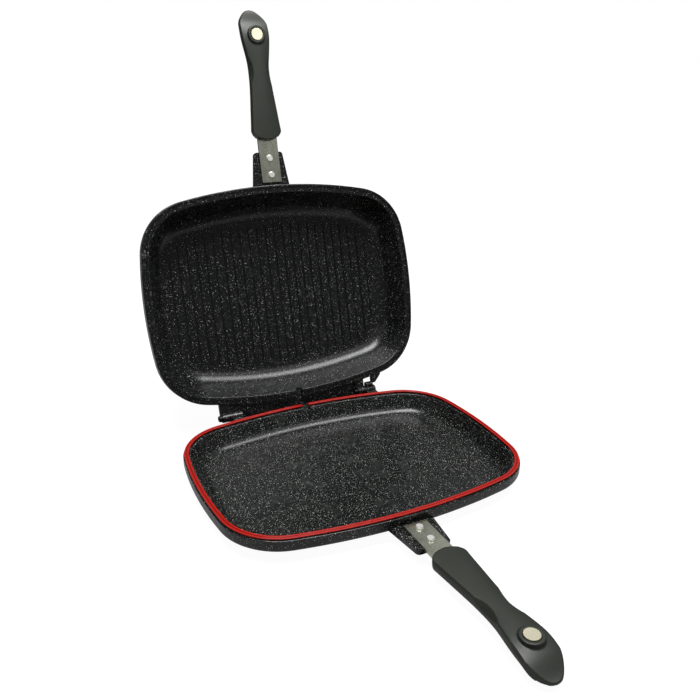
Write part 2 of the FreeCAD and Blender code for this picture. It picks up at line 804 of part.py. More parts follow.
def make_grip(half):
    """Moulded grip: waisted body, finger scoops, slot for the tang and magnet boss."""
    body = new_body(f"{half}_grip")
    top_half = dim("grip_top_width") / 2
    neck_half = dim("grip_neck_width") / 2
    bulb_half = dim("grip_bulb_width") / 2
    sections = []
    for i, (place, taper, swell, droop, belly) in enumerate(GRIP_STATION_SHARES):
        station = -grip_front + dim("grip_length") * place
        sketch = new_sketch(body, f"section_{i + 1}", "XZ_Plane", station)
        half_width = (top_half + (neck_half - top_half) * taper
                      + (bulb_half - neck_half) * swell)
        fall = dim("tip_droop") * droop
        thickness = dim("grip_thickness") - fall + dim("tip_belly_drop") * belly
        add_grip_section(sketch, half_width, grip_top - fall, thickness)
        sections.append(sketch)
    loft(body, "grip_body", "AdditiveLoft", sections, False)
    shape_grip_end(body, "front_end", dim("grip_front_width") / 2, dim("grip_front_corner"),
                   dim("grip_front_radius"), grip_front, 1)
    tip_y = grip_front - dim("grip_length")
    shape_grip_end(body, "tip_end", bulb_half, dim("grip_flank_radius"),
                   dim("grip_tip_radius"), tip_y, -1)
    add_scoops(body)
    add_magnet_boss(body)
    cut_tang_slot(body)
    cut_screw_hole(body)
    return body


def shape_grip_end(body, name, half_width, side_radius, end_radius, end_y, way):
    """Rounds one end seen from above: side arcs run tangent into an arc across the end.

    way is 1 for the end towards the pan and -1 for the tip.
    """
    sketch = new_sketch(body, f"{name}_plan", "XY_Plane", ZERO)
    reach = half_width + dim("slot_fit")
    side_x = reach - side_radius
    gap = side_radius.value - end_radius.value
    rise = math.sqrt(gap ** 2 - side_x.value ** 2) * (1 if gap > 0 else -1)
    end_centre = Vector(0, end_y.value - way * end_radius.value, 0)
    side_y = end_centre.y - way * rise
    join = Vector(side_x.value, side_y, 0)
    join = join + (end_centre - join).normalize() * side_radius.value * (1 if gap > 0 else -1)
    arcs = []
    for side in (1, -1):
        centre = Vector(side * side_x.value, side_y, 0)
        ends = [Vector(side * reach.value, side_y, 0), Vector(side * join.x, join.y, 0)]
        if side * way < 0:
            ends.reverse()
        arcs.append((add_arc(sketch, centre, side_radius.value, *ends), side))
    ends = [Vector(join.x, join.y, 0), Vector(-join.x, join.y, 0)]
    if way < 0:
        ends.reverse()
    middle = add_arc(sketch, end_centre, end_radius.value, *ends)
    far = end_y + half_width * way
    out = reach + end_radius
    corners = [(reach.value, side_y), (out.value, side_y), (out.value, far.value)]
    corners += [(-x, y) for x, y in reversed(corners)]
    run = [Vector(x, y, 0) for x, y in corners]
    lines = []
    for i in range(len(run) - 1):
        lines.append(sketch.addGeometry(Part.LineSegment(run[i], run[i + 1]), False))
    for i in range(len(lines) - 1):
        sketch.addConstraint(Sketcher.Constraint("Coincident", lines[i], 2, lines[i + 1], 1))
    fix_point(sketch, lines[2], 1, out, far)
    fix_point(sketch, lines[2], 2, -out, far)
    for arc, side in arcs:
        outer, inner = (1, 2) if side * way > 0 else (2, 1)
        near, end, upright = (lines[0], 1, lines[1]) if side > 0 else (lines[4], 2, lines[3])
        sketch.addConstraint(Sketcher.Constraint("Coincident", arc, outer, near, end))
        sketch.addConstraint(Sketcher.Constraint("Tangent", arc, inner, middle, 3 - inner))
        sketch.addConstraint(Sketcher.Constraint("Horizontal", arc, 3, arc, outer))
        sketch.addConstraint(Sketcher.Constraint("Horizontal", near))
        sketch.addConstraint(Sketcher.Constraint("Vertical", upright))
        bind(sketch, "Radius", arc, side_radius)
        bind(sketch, "DistanceX", -1, 1, arc, 3, side_x * side)
    bind(sketch, "Radius", middle, end_radius)
    sketch.addConstraint(Sketcher.Constraint("PointOnObject", middle, 3, -2))
    mark = sketch.addGeometry(Part.Point(Vector(0, end_y.value, 0)), True)
    fix_point(sketch, mark, 1, ZERO, end_y)
    sketch.addConstraint(Sketcher.Constraint("PointOnObject", mark, 1, middle))
    pocket_through(body, name, sketch)


def add_scoops(body):
    """A hollow for the fingers on each upper edge, cut by a tilted round bar."""
    tilt = dim("scoop_tilt")
    for side, name in ((1, "right"), (-1, "left")):
        sketch = new_sketch(body, f"{name}_scoop_plan", "XY_Plane", grip_top)
        x = dim("scoop_inset") * side
        sketch.AttachmentOffset = FreeCAD.Placement(
            Vector(x.value, 0, grip_top.value),
            Rotation(Vector(0, -side, 0), tilt.value))
        sketch.setExpression("AttachmentOffset.Base.x", x.formula)
        sketch.setExpression("AttachmentOffset.Rotation.Angle", tilt.formula)
        y = grip_front - dim("scoop_place")
        add_circle(sketch, dim("scoop_radius") * side, y, dim("scoop_radius"))
        pocket_through(body, f"{name}_scoop", sketch)


def add_magnet_boss(body):
    boss_top = -dim("boss_drop")
    middle = (grip_top + grip_bottom) / 2
    sketch = new_sketch(body, "boss_plan", "XY_Plane", middle)
    add_circle(sketch, ZERO, magnet_y, dim("boss_radius"))
    pad(body, "boss", sketch, boss_top - middle)
    sketch = new_sketch(body, "magnet_plan", "XY_Plane", boss_top)
    add_circle(sketch, ZERO, magnet_y, dim("cover_radius") + dim("magnet_fit"))
    depth = dim("cover_thickness") - dim("cover_proud") + dim("magnet_thickness")
    pocket(body, "magnet_pocket", sketch, depth)


def cut_tang_slot(body):
    fit = dim("slot_fit")
    start = grip_front
    neck = rim_front - dim("tang_start") - dim("tang_length")
    end = neck - dim("tail_length") - fit
    wide, narrow = dim("tang_width") / 2 + fit, dim("tail_width") / 2 + fit
    shoulder = neck - wide + narrow
    sketch = new_sketch(body, "slot_plan", "XY_Plane", tang_top + fit)
    add_polygon(sketch, [(-wide, start), (-wide, neck - fit), (-narrow, shoulder - fit),
                         (-narrow, end), (narrow, end), (narrow, shoulder - fit),
                         (wide, neck - fit), (wide, start)])
    pocket(body, "tang_slot", sketch, dim("tang_thickness") + fit)


def cut_screw_hole(body):
    sketch = new_sketch(body, "screw_hole_plan", "XY_Plane", grip_bottom)
    add_circle(sketch, ZERO, screw_y, dim("screw_radius") + dim("slot_fit"))
    pocket(body, "screw_hole", sketch, tang_bottom - grip_bottom, True)
    sketch = new_sketch(body, "screw_head_plan", "XY_Plane", grip_bottom)
    add_circle(sketch, ZERO, screw_y, dim("screw_head_radius") + dim("slot_fit") * 2)
    pocket(body, "screw_head_hole", sketch, dim("screw_recess") + dim("screw_head_height"), True)


def make_pin(name, lug, knuckle):
    """Headed hinge pin, pressed into the upper lug and free in the lower knuckle."""
    body = new_body(name)
    flipped = mirrored_span((lug[0], knuckle[1]))
    start, end = flipped[1], flipped[0] + dim("pin_end_gap")
    sketch = new_sketch(body, "head_side", "YZ_Plane", start)
    add_circle(sketch, hinge_y, upper_hinge_z, dim("pin_head_radius"))
    pad(body, "head", sketch, dim("pin_head_length"))
    doc.recompute()
    far = start + dim("pin_head_length")
    slack = dim("pin_clearance").value

    def chosen(edge):
        return abs(edge.BoundBox.XMin - far.value) < slack and edge.BoundBox.XLength < slack
    round_edges(body, "head_edge", dim("pin_head_radius") * PIN_ROUND_SHARE, chosen)
    sketch = new_sketch(body, "shank_side", "YZ_Plane", start)
    add_circle(sketch, hinge_y, upper_hinge_z, dim("pin_radius"))
    pad(body, "shank", sketch, start - end, True)
    return body


# Assembly

lower_pieces = [make_lower_pan(), make_seal()]
upper_pieces = [cut_grill(make_upper_pan())]
for half, pieces in (("lower", lower_pieces), ("upper", upper_pieces)):
    pieces.append(make_tang(half))
    pieces.append(make_rivet(f"{half}_inner_rivet", rivet_places[0]))
    pieces.append(make_rivet(f"{half}_outer_rivet", rivet_places[1]))
    pieces.append(make_grip(half))
    pieces.append(make_screw(half))
    pieces += make_magnet_pieces(half)
upper_pieces.append(make_pin("left_hinge_pin", left_lug, left_knuckle))
upper_pieces.append(make_pin("right_hinge_pin", right_lug, right_knuckle))
doc.recompute()

lift = Vector(0, 0, dim("lower_height").value)
axis_place = Vector(0, hinge_y.value, dim("lower_height").value - dim("hinge_drop").value)
turned_over = FreeCAD.Placement(
    Vector(0, 0, dim("lower_height").value + dim("closed_gap").value),
    Rotation(Vector(0, 1, 0), 180))
swing = FreeCAD.Placement(
    Vector(0, 0, 0), Rotation(Vector(1, 0, 0), -dim("open_angle").value), axis_place)
for piece in lower_pieces:
    piece.Placement = FreeCAD.Placement(lift, Rotation())
for piece in upper_pieces:
    piece.Placement = swing.multiply(turned_over)
doc.recompute()

for item in doc.Objects:
    if "Invalid" in item.State or "Error" in item.State:
        raise RuntimeError(f"{item.Label} did not build: {item.State}")
for piece in lower_pieces + upper_pieces:
    if piece.Shape.isNull() or not piece.Shape.isValid():
        raise RuntimeError(f"{piece.Label} has no valid shape")
    piece.Shape.exportStep(f"parts/{piece.Label}.step")
    print(piece.Label, len(piece.Shape.Solids), round(piece.Shape.Volume / 1000, 2))
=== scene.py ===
import json
import math

import bpy
from bpy.props import (FloatProperty, FloatVectorProperty, IntProperty, PointerProperty,
                       StringProperty)
from mathutils import Matrix, Vector


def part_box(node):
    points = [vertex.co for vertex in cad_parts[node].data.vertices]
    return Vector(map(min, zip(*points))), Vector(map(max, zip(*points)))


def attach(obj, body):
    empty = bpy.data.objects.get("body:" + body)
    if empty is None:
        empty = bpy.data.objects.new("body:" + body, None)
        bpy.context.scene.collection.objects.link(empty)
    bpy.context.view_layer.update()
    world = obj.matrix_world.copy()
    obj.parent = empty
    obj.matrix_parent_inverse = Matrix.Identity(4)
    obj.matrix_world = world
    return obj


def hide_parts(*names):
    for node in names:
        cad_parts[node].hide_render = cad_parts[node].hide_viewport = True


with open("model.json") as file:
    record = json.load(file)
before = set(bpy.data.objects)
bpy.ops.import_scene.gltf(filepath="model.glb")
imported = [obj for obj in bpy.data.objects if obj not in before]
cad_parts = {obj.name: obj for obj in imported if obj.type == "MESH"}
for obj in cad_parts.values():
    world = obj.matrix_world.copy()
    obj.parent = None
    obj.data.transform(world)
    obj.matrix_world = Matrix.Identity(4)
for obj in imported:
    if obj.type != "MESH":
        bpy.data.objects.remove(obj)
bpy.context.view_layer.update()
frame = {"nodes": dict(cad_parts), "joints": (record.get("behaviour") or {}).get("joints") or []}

bl_info = {
    "name": "Double sided flip pan",
    "version": (1, 0, 0),
    "blender": (4, 5, 0),
    "location": "View3D > Sidebar > Flip pan",
    "description": "Coats, seal, grips, metal parts and studio of a hinged double pan",
    "category": "Object",
}

MM = 0.001

# The pan's two halves, as the frame names their bodies
HALVES = ("lower", "upper")
BODY = {half: f"{half}_half" for half in HALVES}

# The hinge's upper limit is the closed pan. The frame shows it open by as much, so these are
# the upper pan's directions in it: out of its grill floor, and along its grip towards the pan
HINGE = frame["joints"][0]
OPEN = math.radians(HINGE["range_deg"][1])
GRILL_NORMAL = Vector((0.0, -math.sin(OPEN), -math.cos(OPEN)))
GRILL_ALONG = Vector((0.0, math.cos(OPEN), -math.sin(OPEN)))

# How far the grill floor lies behind the hinge's axis, and its place along the normal
GRILL_DEPTH = 45.3 * MM
GRILL_LEVEL = Vector(HINGE["pos_m"]).dot(GRILL_NORMAL) - GRILL_DEPTH

# For each grip the way towards its pan and the way out of its hidden face
GRIP_SIDES = {
    "lower": (Vector((0.0, 1.0, 0.0)), Vector((0.0, 0.0, -1.0))),
    "upper": (GRILL_ALONG, -GRILL_NORMAL),
}


# Colours and shader nodes

def linear(hex_colour):
    """An sRGB hex colour as the linear values that shaders take, and a full alpha."""
    shares = [int(hex_colour[i:i + 2], 16) / 255 for i in (1, 3, 5)]
    return (*(s / 12.92 if s <= 0.04045 else ((s + 0.055) / 1.055) ** 2.4 for s in shares), 1.0)


def add_node(tree, kind, choices=None, **inputs):
    """Adds a shader node with its choices, such as an operation, and its inputs.

    An input is a value or the socket it is linked to. It goes by its name, with an underscore
    for each space, or by its number: n0 is the first.
    """
    node = tree.nodes.new(kind)
    for name, value in (choices or {}).items():
        setattr(node, name, value)
    for name, value in inputs.items():
        key = int(name[1:]) if name[0] == "n" and name[1:].isdigit() else name.replace("_", " ")
        socket = node.inputs[key]
        if isinstance(value, bpy.types.NodeSocket):
            tree.links.new(value, socket)
        else:
            socket.default_value = value
    return node


def new_material(name):
    """An empty material, its tree and the outputs of its texture coordinates."""
    material = bpy.data.materials.new(name)
    material.use_nodes = True
    tree = material.node_tree
    tree.nodes.clear()
    return material, tree, add_node(tree, "ShaderNodeTexCoord").outputs


# Sizes and colours that a user would change

def colour_property(name, hex_colour, description):
    return StringProperty(name=name, default=hex_colour, description=description)


def roughness_property(share, description):
    return FloatProperty(name="Roughness", default=share, min=0.0, max=1.0, subtype="FACTOR",
                         description=description)


class CoatSettings(bpy.types.PropertyGroup):
    base: colour_property("Coat", "#0a0c0b", "Black of the baked non-stick coat")
    fleck: colour_property("Fleck", "#fbfcf8", "Pale stone flecks in the coat")
    grit: colour_property("Fine grit", "#5a5e5a", "Fine grey grit between the flecks")
    fleck_spacing: FloatProperty(
        name="Fleck spacing", default=1.6 * MM, unit="LENGTH", precision=5,
        description="Mean distance between two flecks")
    grit_spacing: FloatProperty(
        name="Grit spacing", default=1.1 * MM, unit="LENGTH", precision=5,
        description="Mean distance between two grains of grit")
    bare_frying: FloatProperty(
        name="Bare share, frying pan", default=0.16, min=0.0, max=0.9, subtype="FACTOR",
        description="Share of the lower pan's coat cells with only a speck")
    bare_grill: FloatProperty(
        name="Bare share, grill pan", default=0.52, min=0.0, max=0.9, subtype="FACTOR",
        description="Share of the upper pan's coat cells with only a speck")
    roughness: roughness_property(0.27, "Roughness of the coat's surface")


class SealSettings(bpy.types.PropertyGroup):
    silicone: colour_property("Silicone", "#a4140a", "Colour of the silicone seal")
    roughness: roughness_property(0.3, "Roughness of the seal's surface")
    edge: FloatProperty(
        name="Edge rounding", default=0.3 * MM, min=0.0, unit="LENGTH", precision=5,
        description="Rounding of the seal's moulded edges")


class GripSettings(bpy.types.PropertyGroup):
    phenolic: colour_property("Phenolic", "#161a12", "Colour of the moulded grips")
    roughness: roughness_property(0.47, "Roughness of the moulded surface")
    nose: FloatProperty(
        name="Front rounding", default=12.0 * MM, min=1.0 * MM, unit="LENGTH", precision=4,
        description="Reach of the rounding at the front end's hidden edge")
    softness: IntProperty(
        name="Softness", default=10, min=0, max=60,
        description="How often the moulded edges are smoothed")


class MetalSettings(bpy.types.PropertyGroup):
    steel: colour_property("Steel", "#cfd1c0", "Rolled stainless steel of the tangs")
    rivet: colour_property("Rivet", "#f0efea", "Bright metal of the rivets and screws")
    nickel: colour_property("Nickel", "#dfdac0", "Warm nickel plate of the catch discs")
    pin: colour_property("Pin", "#26272a", "Blackened steel of the hinge pins")


class StageSettings(bpy.types.PropertyGroup):
    lens: FloatProperty(
        name="Lens", default=38.5, min=10.0, unit="CAMERA",
        description="Focal length on a sensor 36 mm wide")
    eye: FloatVectorProperty(
        name="Eye", size=3, default=(-0.3405, -0.6705, 0.4561), unit="LENGTH",
        description="Where the camera stands")
    target: FloatVectorProperty(
        name="Target", size=3, default=(0.143053, 0.295887, 0.030), unit="LENGTH",
        description="The point in the middle of the picture")
    roll: FloatProperty(
        name="Roll", default=math.radians(0.697), subtype="ANGLE",
        description="How far the camera leans about its view")
    shift: FloatVectorProperty(
        name="Shift", size=2, default=(0.00202, -0.0068), precision=5,
        description="Shift of the picture in shares of its width")
    floor_size: FloatProperty(
        name="Floor", default=60.0, unit="LENGTH", description="Width of the studio floor")
    floor_glow: FloatProperty(
        name="Floor glow", default=0.96, min=0.0, max=1.0,
        description="How white the floor stays in the object's shadow")


def settings(name):
    """The user's settings of one kind: coat, seal, grip, metal or stage."""
    return getattr(bpy.context.scene, f"flip_pan_{name}")


# Materials

# The middle of a noise texture's range, which it seldom leaves
NOISE_RANGE = {"From_Min": 0.3, "From_Max": 0.7}


def mottled(tree, place, spacing, colours, share, lowest=NOISE_RANGE["From_Min"]):
    """A colour clouded with patches of a second one, and the noise that makes the patches.

    The patches are spacing wide, begin where the noise passes its lowest value, and take up
    to a share of the second colour.
    """
    noise = add_node(tree, "ShaderNodeTexNoise", Vector=place, Scale=1.0 / spacing,
                     Detail=4.0).outputs["Fac"]
    tint = add_node(tree, "ShaderNodeMapRange", Value=noise, From_Min=lowest,
                    From_Max=NOISE_RANGE["From_Max"], To_Max=share).outputs["Result"]
    first, second = colours
    colour = add_node(tree, "ShaderNodeMix", {"data_type": "RGBA"}, n0=tint,
                      n6=linear(first), n7=linear(second)).outputs[2]
    return colour, noise


def finish_surface(material, colour, wear, roughness, spread, relief, strength, depth,
                   **looks):
    """Gives a material its shader and returns it.

    The wear noise takes the roughness down and up by the two values of spread, and the
    relief stands out by depth.
    """
    tree = material.node_tree
    smoother, rougher = spread
    matt = add_node(tree, "ShaderNodeMapRange", Value=wear, **NOISE_RANGE,
                    To_Min=roughness - smoother, To_Max=roughness + rougher)
    bump = add_node(tree, "ShaderNodeBump", Height=relief, Strength=strength, Distance=depth)
    shader = add_node(tree, "ShaderNodeBsdfPrincipled", Base_Color=colour,
                      Roughness=matt.outputs["Result"], Normal=bump.outputs["Normal"], **looks)
    add_node(tree, "ShaderNodeOutputMaterial", Surface=shader.outputs["BSDF"])
    return material


# The coat's patches with fainter flecks, and the share of their strength that is left there
PATCH = 22.0 * MM
PATCH_RANGE = {"From_Min": 0.35, "From_Max": 0.65}
PATCH_FAINT_SHARE = 0.75

# The bends in the ragged outlines of the flecks, and how far they go
RAGGED = 0.77 * MM
RAGGED_REACH = 0.9 * MM

# The ripples that the spray gun leaves, known as orange peel, and their depth
ORANGE_PEEL = 1.1 * MM
ORANGE_PEEL_DEPTH = 0.08 * MM

# The radius of the largest fleck, of the largest grain of grit and of the specks in bare
# cells, and the blur at their edges, in shares of their spacing
FLECK_SHARE = 0.25
GRIT_SHARE = 0.48
SPECK_SHARE = 0.1
BLUR_SHARE = 0.05

# How much larger the bare share is for the grit, and the strength of the faintest spots
GRIT_LESS = 0.15
FAINTEST = 0.3

# The depths below the grill floor at which painted shade begins in a groove and is full: the
# flecks and grit are left out there, so the bare black coat stands for the groove's shade. Then
# the cosine of the slope past which a face belongs to a wall or the pan's back, left unshaded
GROOVE_LIP = 0.2 * MM
GROOVE_SHADE = 0.6 * MM
STEEP = 0.5


def spatter(tree, place, spacing, bare, radius):
    """Spots of uneven size and strength, one a cell, with a speck in the bare share."""
    cells = add_node(tree, "ShaderNodeTexVoronoi", Vector=place, Scale=1.0 / spacing)
    chance = add_node(tree, "ShaderNodeSeparateColor", Color=cells.outputs["Color"])
    size = add_node(tree, "ShaderNodeMapRange", Value=chance.outputs["Red"], From_Min=bare,
                    To_Min=SPECK_SHARE, To_Max=radius)
    inside = add_node(tree, "ShaderNodeMath", {"operation": "SUBTRACT"},
                      n0=size.outputs["Result"], n1=cells.outputs["Distance"])
    spot = add_node(tree, "ShaderNodeMapRange", {"interpolation_type": "SMOOTHSTEP"},
                    Value=inside.outputs["Value"], From_Max=BLUR_SHARE)
    tone = add_node(tree, "ShaderNodeMapRange", Value=chance.outputs["Green"],
                    To_Min=FAINTEST)
    return add_node(tree, "ShaderNodeMath", {"operation": "MULTIPLY"},
                    n0=spot.outputs["Result"], n1=tone.outputs["Result"]).outputs["Value"]


def outside_painted_groove_shade(tree, coordinates, normal, level):
    """Where flecks and grit show: all over but for the bottoms of the grooves cut in a floor,
    which are left bare black as painted shade.

    The floor is given by its normal and its place along it.
    """
    height = add_node(tree, "ShaderNodeVectorMath", {"operation": "DOT_PRODUCT"},
                      n0=coordinates["Object"], n1=normal).outputs["Value"]
    facing = add_node(tree, "ShaderNodeVectorMath", {"operation": "DOT_PRODUCT"},
                      n0=coordinates["Normal"], n1=normal).outputs["Value"]
    above = add_node(tree, "ShaderNodeMapRange", Value=height, From_Min=level - GROOVE_SHADE,
                     From_Max=level - GROOVE_LIP).outputs["Result"]
    behind = add_node(tree, "ShaderNodeMath", {"operation": "LESS_THAN"},
                      n0=facing, n1=STEEP).outputs["Value"]
    return add_node(tree, "ShaderNodeMath", {"operation": "MAXIMUM"},
                    n0=above, n1=behind).outputs["Value"]


def coat_material(name, coat, bare, grooves=None):
    """Granite look non-stick coat: black PTFE sprayed on cast aluminium, with stone flecks.

    The baked polymer has a soft highlight, over spatter of pale flecks and finer grit at
    their real sizes. bare is the share of cells with only a speck. The bottoms of grooves are
    left bare black as painted shade; they are given as the normal and level of the floor they
    are cut in.
    """
    material, tree, coordinates = new_material(name)
    place = coordinates["Object"]
    drift = add_node(tree, "ShaderNodeTexNoise", Vector=place, Scale=1.0 / PATCH,
                     Detail=3.0).outputs["Fac"]
    bends = add_node(tree, "ShaderNodeTexNoise", Vector=place, Scale=1.0 / RAGGED,
                     Detail=1.0).outputs["Color"]
    ragged = add_node(tree, "ShaderNodeVectorMath", {"operation": "MULTIPLY_ADD"},
                      n0=bends, n1=(RAGGED_REACH,) * 3, n2=place).outputs["Vector"]
    flecks = spatter(tree, ragged, coat.fleck_spacing, bare, FLECK_SHARE)
    grit = spatter(tree, ragged, coat.grit_spacing, bare + GRIT_LESS, GRIT_SHARE)
    patch = add_node(tree, "ShaderNodeMapRange", Value=drift, **PATCH_RANGE,
                     To_Min=PATCH_FAINT_SHARE).outputs["Result"]
    if grooves:
        # Painted shade: flecks and grit are left out at the groove bottoms, which show the bare
        # black coat
        outside_groove_shade = outside_painted_groove_shade(tree, coordinates, *grooves)
        patch = add_node(tree, "ShaderNodeMath", {"operation": "MULTIPLY"},
                         n0=patch, n1=outside_groove_shade).outputs["Value"]
        grit = add_node(tree, "ShaderNodeMath", {"operation": "MULTIPLY"},
                        n0=grit, n1=outside_groove_shade).outputs["Value"]
    flecks = add_node(tree, "ShaderNodeMath", {"operation": "MULTIPLY"},
                      n0=flecks, n1=patch).outputs["Value"]
    ground = add_node(tree, "ShaderNodeMix", {"data_type": "RGBA"}, n0=grit,
                      n6=linear(coat.base), n7=linear(coat.grit)).outputs[2]
    colour = add_node(tree, "ShaderNodeMix", {"data_type": "RGBA"}, n0=flecks,
                      n6=ground, n7=linear(coat.fleck)).outputs[2]
    orange_peel = add_node(tree, "ShaderNodeTexNoise", Vector=place, Scale=1.0 / ORANGE_PEEL,
                           Detail=2.0).outputs["Fac"]
    return finish_surface(
        material, colour, wear=drift, roughness=coat.roughness, spread=(0.008, 0.008),
        relief=orange_peel, strength=0.12, depth=ORANGE_PEEL_DEPTH, IOR=1.45)


# The clouds of bloom on the seal, and their tint
BLOOM = 5.5 * MM
BLOOM_TINT = "#9c120a"

# Painted shade: a deeper red below its crests, in the channel and down the sides, and how far
# under them it is full and where it ends
PAINTED_CHANNEL_SHADE = "#750b05"
CHANNEL_SHADE_FULL = 0.7 * MM
CHANNEL_SHADE_END = 0.15 * MM

# The grain of its skin, which is finer on the real one and drawn coarser so that it shows
SKIN_GRAIN = 0.4 * MM
SKIN_GRAIN_DEPTH = 0.05 * MM


def silicone_material(name, seal, top):
    """Moulded food grade silicone: a soft satin skin, with painted shade in deeper red below its
    two crests.

    top is the height of the crests.
    """
    material, tree, coordinates = new_material(name)
    place = coordinates["Object"]
    skin, bloom = mottled(tree, place, BLOOM, (seal.silicone, BLOOM_TINT), share=0.22)
    height = add_node(tree, "ShaderNodeSeparateXYZ", Vector=place).outputs["Z"]
    # Painted shade: the skin turns deeper red below the crests' height
    outside_channel_shade = add_node(tree, "ShaderNodeMapRange", Value=height, From_Min=top - CHANNEL_SHADE_FULL,
                     From_Max=top - CHANNEL_SHADE_END).outputs["Result"]
    colour = add_node(tree, "ShaderNodeMix", {"data_type": "RGBA"}, n0=outside_channel_shade,
                      n6=linear(PAINTED_CHANNEL_SHADE), n7=skin).outputs[2]
    grain = add_node(tree, "ShaderNodeTexNoise", Vector=place, Scale=1.0 / SKIN_GRAIN,
                     Detail=2.0).outputs["Fac"]
    return finish_surface(
        material, colour, wear=bloom, roughness=seal.roughness, spread=(0.04, 0.06),
        relief=grain, strength=0.08, depth=SKIN_GRAIN_DEPTH, IOR=1.41)


# The haze on the grips, and its tint
HAZE = 16.5 * MM
HAZE_TINT = "#22261d"

# The texture that their spark eroded mould leaves, which is about 0.1 mm on the real one and
# drawn coarser so that it shows
MOULD_TEXTURE = 0.45 * MM
MOULD_TEXTURE_DEPTH = 0.06 * MM


def phenolic_material(name, grip):
    """Compression moulded phenolic with a fine spark eroded texture: dry, dark and matt."""
    material, tree, coordinates = new_material(name)
    place = coordinates["Object"]
    colour, _ = mottled(tree, place, HAZE, (grip.phenolic, HAZE_TINT), share=0.3)
    texture = add_node(tree, "ShaderNodeTexNoise", Vector=place, Scale=1.0 / MOULD_TEXTURE,
                       Detail=3.0).outputs["Fac"]
    return finish_surface(
        material, colour, wear=texture, roughness=grip.roughness, spread=(0.05, 0.06),
        relief=texture, strength=0.15, depth=MOULD_TEXTURE_DEPTH, IOR=1.5)


# The smudges on the metal parts, the noise at which they begin, and the depth of the lines
SMUDGE = 8.3 * MM
SMUDGE_LOWEST = 0.35
LINE_DEPTH = 0.04 * MM

# Each metal, by its setting: its name, the tint of its smudges, its roughness and how much
# that varies either way, and its lines, with how they stretch and how strong they are. The
# real lines are about 0.1 mm apart and drawn coarser so that they show
EVEN = (1.0, 1.0, 1.0)
METALS = {
    # Strap rolled and brushed along its length: fine lines and a soft, streaked shine
    "steel": {"name": "rolled_stainless_steel", "smudges": "#a3a598", "roughness": 0.25,
              "spread": 0.03, "lines": 1.1 * MM, "stretch": (1.0, 0.06, 0.06),
              "strength": 0.05},
    # Rivets and screws tumbled with stones: bright, but milky and with no direction
    "rivet": {"name": "tumbled_bright_steel", "smudges": "#d6d5cf", "roughness": 0.48,
              "spread": 0.05, "lines": 1.7 * MM, "stretch": EVEN, "strength": 0.03},
    # Nickel plate on polished caps: warm, clear and nearly even
    "nickel": {"name": "nickel_plate", "smudges": "#d4cfb4", "roughness": 0.27,
               "spread": 0.02, "lines": 11.0 * MM, "stretch": EVEN, "strength": 0.01},
    # Drawn pins blackened in oil: dark, with a dull sheen
    "pin": {"name": "blackened_steel", "smudges": "#1b1c1e", "roughness": 0.36,
            "spread": 0.06, "lines": 2.0 * MM, "stretch": EVEN, "strength": 0.05},
}


def metal_material(colour, name, smudges, roughness, spread, lines, stretch, strength):
    """Bare or plated metal: faint lines from how it was worked, and a few smudges."""
    material, tree, coordinates = new_material(name)
    place = coordinates["Object"]
    along = add_node(tree, "ShaderNodeMapping", Vector=place, Scale=stretch)
    grain = add_node(tree, "ShaderNodeTexNoise", Vector=along.outputs["Vector"],
                     Scale=1.0 / lines, Detail=4.0).outputs["Fac"]
    tone, _ = mottled(tree, place, SMUDGE, (colour, smudges), share=0.5,
                      lowest=SMUDGE_LOWEST)
    return finish_surface(
        material, tone, wear=grain, roughness=roughness, spread=(spread, spread),
        relief=grain, strength=strength, depth=LINE_DEPTH, Metallic=1.0)


# Modelling helpers

# Points nearer than this are one point of a CAD solid
WELD = 0.01 * MM


def finish_node(node, material):
    """Gives a CAD solid that stays its material."""
    thing = frame["nodes"][node]
    thing.data.materials.clear()
    thing.data.materials.append(material)


def deselect_all():
    if bpy.context.object and bpy.context.object.mode != "OBJECT":
        bpy.ops.object.mode_set(mode="OBJECT")
    bpy.ops.object.select_all(action="DESELECT")


def select_only(thing):
    deselect_all()
    thing.select_set(True)
    bpy.context.view_layer.objects.active = thing


def own_copy(node, name):
    """A welded copy of a CAD solid's mesh as an object at the origin."""
    source = frame["nodes"][node]
    mesh = source.data.copy()
    mesh.transform(source.matrix_world)
    mesh.materials.clear()
    piece = bpy.data.objects.new(name, mesh)
    bpy.context.collection.objects.link(piece)
    select_only(piece)
    bpy.ops.object.mode_set(mode="EDIT")
    bpy.ops.mesh.select_all(action="SELECT")
    bpy.ops.mesh.remove_doubles(threshold=WELD)
    bpy.ops.mesh.normals_make_consistent(inside=False)
    bpy.ops.object.mode_set(mode="OBJECT")
    return piece


def add_modifier(piece, kind, **values):
    """Adds a modifier, sets its values and applies it."""
    modifier = piece.modifiers.new(kind.lower(), kind)
    for name, value in values.items():
        setattr(modifier, name, value)
    select_only(piece)
    bpy.ops.object.modifier_apply(modifier=modifier.name)


# Pieces

# The seal's edges that turn by more than the first angle are rounded, and those that turn
# by less than the second shade as one
SEAL_EDGE_ANGLE = math.radians(50.0)
SEAL_SHADE_ANGLE = math.radians(40.0)

# The grips are meshed anew on a grid with two to this power of cells a side, of which their
# length fills this share
GRIP_GRID = 8
GRIP_GRID_SHARE = 0.9

# How far one pass of smoothing takes a point towards its neighbours, how many passes round
# the front ends, and at which share of the rounding's reach it is full
SMOOTHING = 0.5
NOSE_PASSES = 240
NOSE_FULL_SHARE = 0.5


def round_front(moulding, sides, grip):
    """Rounds the edge where a grip's front end meets its hidden face."""
    along, out = sides
    spots = [(v.index, v.co.dot(along), v.co.dot(out)) for v in moulding.data.vertices]
    front = max(forward for _, forward, _ in spots)
    face = max(depth for _, forward, depth in spots if front - forward < grip.nose)
    group = moulding.vertex_groups.new(name="front_edge")
    for index, forward, depth in spots:
        near = min(1.0 - (front - forward) / grip.nose, 1.0 - (face - depth) / grip.nose)
        if near > 0.0:
            group.add([index], min(1.0, near / NOSE_FULL_SHARE), "REPLACE")
    add_modifier(moulding, "SMOOTH", factor=SMOOTHING, iterations=NOSE_PASSES,
                 vertex_group=group.name)


